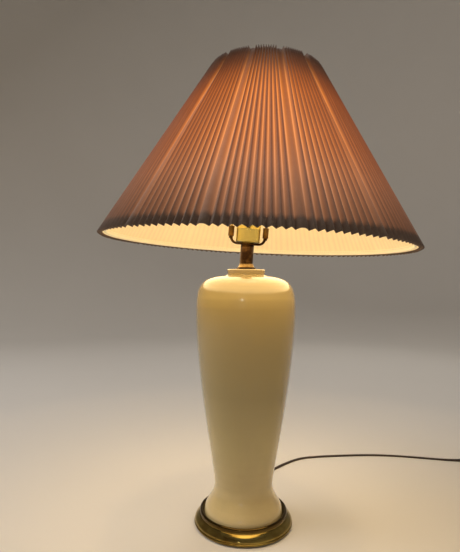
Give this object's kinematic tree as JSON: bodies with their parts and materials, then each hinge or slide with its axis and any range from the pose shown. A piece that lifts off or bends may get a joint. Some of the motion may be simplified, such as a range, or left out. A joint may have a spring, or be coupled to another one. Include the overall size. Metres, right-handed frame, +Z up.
{
  "type": "table lamp with shade",
  "caption": "Table lamp: glazed ceramic vase on a brass foot, brass socket and harp, pleated empire shade held by a finial, flat cord with plug.",
  "frame": {"origin": "centre of the felt pad's underside, where the lamp stands on the table", "axes": "+Z up along the vase's axis, -Y is the front, +X is the side towards which the harp and the shade lean"},
  "size_m": [0.6807, 0.4716, 0.642],
  "materials": {
    "felt": "dense wool felt",
    "brass": "lacquered, polished",
    "antique_brass": "dark antique lacquer",
    "cast_iron": "raw casting",
    "steel": "zinc plated",
    "glaze": "glossy cream glaze",
    "pleats": "pleated taupe cloth, glows terracotta when lit",
    "liner": "smooth cream lining",
    "hem": "pale bias tape",
    "paperboard": "fibre insulating sleeve",
    "phenolic": "dark phenolic moulding",
    "knob_plastic": "ribbed dark brown knob",
    "cap_metal": "threaded screw cap",
    "bulb": "frosted glass, lit",
    "filament_stem": "glass stem with a tungsten filament",
    "cord": "dark brown two-core flat cord",
    "plug": "moulded dark brown plug",
    "blade": "bare brass blades"
  },
  "bodies": {
    "lamp_base": {"felt_pad": "felt", "base_ring": "brass", "base_weight": "cast_iron", "base_nut": "steel", "lock_washer": "steel", "center_rod": "steel", "socket_nipple": "steel", "vase": "glaze", "neck_flange": "antique_brass", "neck_tube": "antique_brass", "harp_saddle": "brass", "socket_cap": "brass", "socket_shell": "brass", "socket_liner": "paperboard", "socket_body": "phenolic", "screw_shell": "brass", "centre_contact": "brass", "cord_inside": "cord", "strain_relief": "cord", "cord_tube": "cord", "cord_coil": "cord", "plug_body": "plug", "plug_blades": "blade"},
    "harp": {"harp_bow": "brass", "harp_seat": "brass"},
    "left_lock": {"sleeve_left": "brass"},
    "right_lock": {"sleeve_right": "brass"},
    "shade": {"shade_spider": "brass", "shade_top_ring": "brass", "shade_bottom_ring": "brass", "shade_fabric": "pleats", "shade_liner": "liner", "hem_tape": "hem"},
    "finial_nut": {"finial": "brass"},
    "knob": {"switch_knob": "knob_plastic"},
    "bulb": {"bulb_base": "cap_metal", "bulb_glass": "bulb", "filament": "filament_stem"}
  },
  "joints": [
    {"name": "harp_lift", "type": "slide", "parent": "lamp_base", "child": "harp", "axis": [0.0698, 0, 0.9976], "range_m": [0, 0.02]},
    {"name": "left_sleeve_slide", "type": "slide", "parent": "harp", "child": "left_lock", "axis": [0.0698, 0, 0.9976], "range_m": [0, 0.012]},
    {"name": "right_sleeve_slide", "type": "slide", "parent": "harp", "child": "right_lock", "axis": [0.0698, 0, 0.9976], "range_m": [0, 0.012]},
    {"name": "shade_turn", "type": "hinge", "parent": "harp", "child": "shade", "pos_m": [0.0246, 0, 0.61363], "axis": [0.0419, 0, 0.9991], "continuous": true},
    {"name": "finial_turn", "type": "hinge", "parent": "harp", "child": "finial_nut", "pos_m": [0.0246, 0, 0.61363], "axis": [0.0419, 0, 0.9991], "continuous": true},
    {"name": "switch_turn", "type": "hinge", "parent": "lamp_base", "child": "knob", "pos_m": [0.00352, -0.02, 0.41513], "axis": [0, -1, 0], "continuous": true},
    {"name": "bulb_turn", "type": "hinge", "parent": "lamp_base", "child": "bulb", "pos_m": [0.0015, 0, 0.3862], "axis": [0.0698, 0, 0.9976], "continuous": true}
  ]
}
